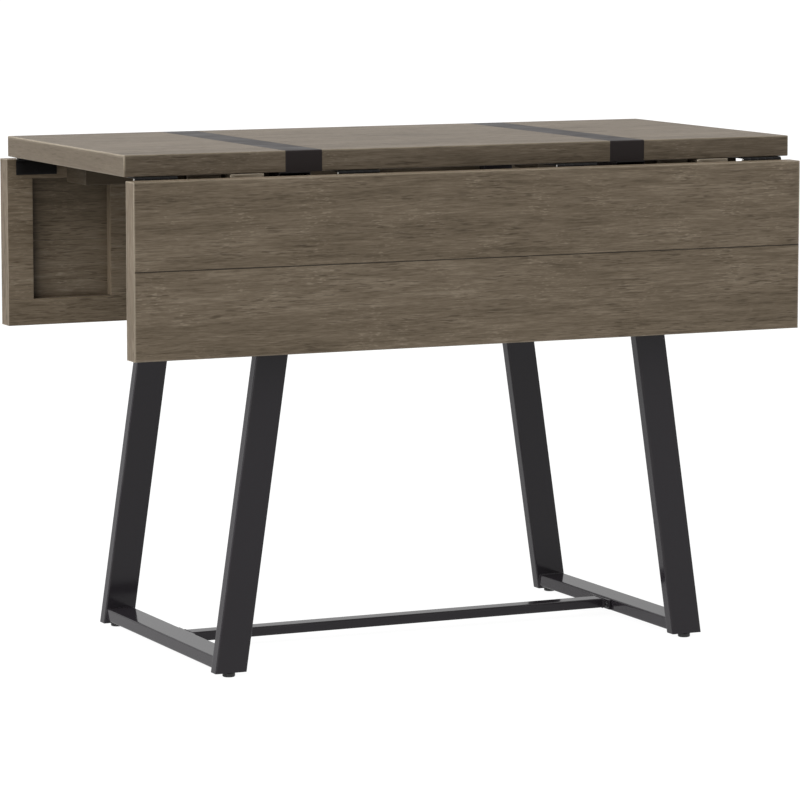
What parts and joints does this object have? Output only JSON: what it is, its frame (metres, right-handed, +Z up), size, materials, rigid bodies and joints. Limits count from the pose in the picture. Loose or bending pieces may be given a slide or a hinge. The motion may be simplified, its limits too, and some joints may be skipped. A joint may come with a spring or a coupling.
{
  "type": "drop-leaf dining table",
  "caption": "Oblong wooden dining table with hinged drop leaves along both long sides, pull-out leaf supports, inlaid steel straps and leaning steel leg frames joined by a stretcher.",
  "frame": {"origin": "on the floor under the middle of the top", "axes": "+X along the top, +Y from the front leaf to the back leaf, +Z up"},
  "size_m": [1.078, 0.559, 0.762],
  "materials": {
    "wood": "satin grey-brown stain over open grain",
    "strap_steel": "blackened satin",
    "frame_steel": "charcoal powder coat, satin",
    "hinge_steel": "black satin",
    "bolt_steel": "black oxide",
    "foot_plastic": "matte black"
  },
  "bodies": {
    "table": {"top_slab": "wood", "strap_left": "strap_steel", "strap_right": "strap_steel", "front_hinge_fixed_1": "hinge_steel", "front_hinge_fixed_2": "hinge_steel", "front_hinge_fixed_3": "hinge_steel", "front_hinge_fixed_4": "hinge_steel", "back_hinge_fixed_1": "hinge_steel", "back_hinge_fixed_2": "hinge_steel", "back_hinge_fixed_3": "hinge_steel", "back_hinge_fixed_4": "hinge_steel", "loper_guide_front_left": "wood", "loper_guide_front_right": "wood", "loper_guide_back_left": "wood", "loper_guide_back_right": "wood", "top_rail_left": "frame_steel", "top_rail_right": "frame_steel", "bottom_rail_left": "frame_steel", "bottom_rail_right": "frame_steel", "leg_front_left": "frame_steel", "leg_front_right": "frame_steel", "leg_back_left": "frame_steel", "leg_back_right": "frame_steel", "stretcher": "frame_steel", "stretcher_bolt_front_left": "bolt_steel", "stretcher_bolt_front_right": "bolt_steel", "stretcher_bolt_back_left": "bolt_steel", "stretcher_bolt_back_right": "bolt_steel"},
    "front_leaf": {"front_leaf_upper_board": "wood", "front_leaf_lower_board": "wood", "front_leaf_top_rail": "wood", "front_leaf_bottom_rail": "wood", "front_leaf_end_stile_left": "wood", "front_leaf_end_stile_right": "wood", "front_leaf_mid_stile_left": "wood", "front_leaf_mid_stile_right": "wood", "front_hinge_moving_1": "hinge_steel", "front_hinge_moving_2": "hinge_steel", "front_hinge_moving_3": "hinge_steel", "front_hinge_moving_4": "hinge_steel"},
    "back_leaf": {"back_leaf_upper_board": "wood", "back_leaf_lower_board": "wood", "back_leaf_top_rail": "wood", "back_leaf_bottom_rail": "wood", "back_leaf_end_stile_left": "wood", "back_leaf_end_stile_right": "wood", "back_leaf_mid_stile_left": "wood", "back_leaf_mid_stile_right": "wood", "back_hinge_moving_1": "hinge_steel", "back_hinge_moving_2": "hinge_steel", "back_hinge_moving_3": "hinge_steel", "back_hinge_moving_4": "hinge_steel"},
    "loper_front_left": {"loper_front_left": "wood"},
    "loper_front_right": {"loper_front_right": "wood"},
    "loper_back_left": {"loper_back_left": "wood"},
    "loper_back_right": {"loper_back_right": "wood"},
    "foot_front_left": {"foot_front_left": "foot_plastic"},
    "foot_front_right": {"foot_front_right": "foot_plastic"},
    "foot_back_left": {"foot_back_left": "foot_plastic"},
    "foot_back_right": {"foot_back_right": "foot_plastic"}
  },
  "joints": [
    {"name": "front_leaf_hinge", "type": "hinge", "parent": "table", "child": "front_leaf", "pos_m": [0, -0.2445, 0.727], "axis": [-1, 0, 0], "range_deg": [0, 90]},
    {"name": "back_leaf_hinge", "type": "hinge", "parent": "table", "child": "back_leaf", "pos_m": [0, 0.2445, 0.727], "axis": [1, 0, 0], "range_deg": [0, 90]},
    {"name": "loper_front_left_slide", "type": "slide", "parent": "table", "child": "loper_front_left", "axis": [0, -1, 0], "range_m": [-0.012, 0.004]},
    {"name": "loper_front_right_slide", "type": "slide", "parent": "table", "child": "loper_front_right", "axis": [0, -1, 0], "range_m": [-0.012, 0.004]},
    {"name": "loper_back_left_slide", "type": "slide", "parent": "table", "child": "loper_back_left", "axis": [0, 1, 0], "range_m": [-0.012, 0.004]},
    {"name": "loper_back_right_slide", "type": "slide", "parent": "table", "child": "loper_back_right", "axis": [0, 1, 0], "range_m": [-0.012, 0.004]},
    {"name": "foot_front_left_screw", "type": "slide", "parent": "table", "child": "foot_front_left", "axis": [0, 0, -1], "range_m": [0, 0.008]},
    {"name": "foot_front_right_screw", "type": "slide", "parent": "table", "child": "foot_front_right", "axis": [0, 0, -1], "range_m": [0, 0.008]},
    {"name": "foot_back_left_screw", "type": "slide", "parent": "table", "child": "foot_back_left", "axis": [0, 0, -1], "range_m": [0, 0.008]},
    {"name": "foot_back_right_screw", "type": "slide", "parent": "table", "child": "foot_back_right", "axis": [0, 0, -1], "range_m": [0, 0.008]}
  ]
}
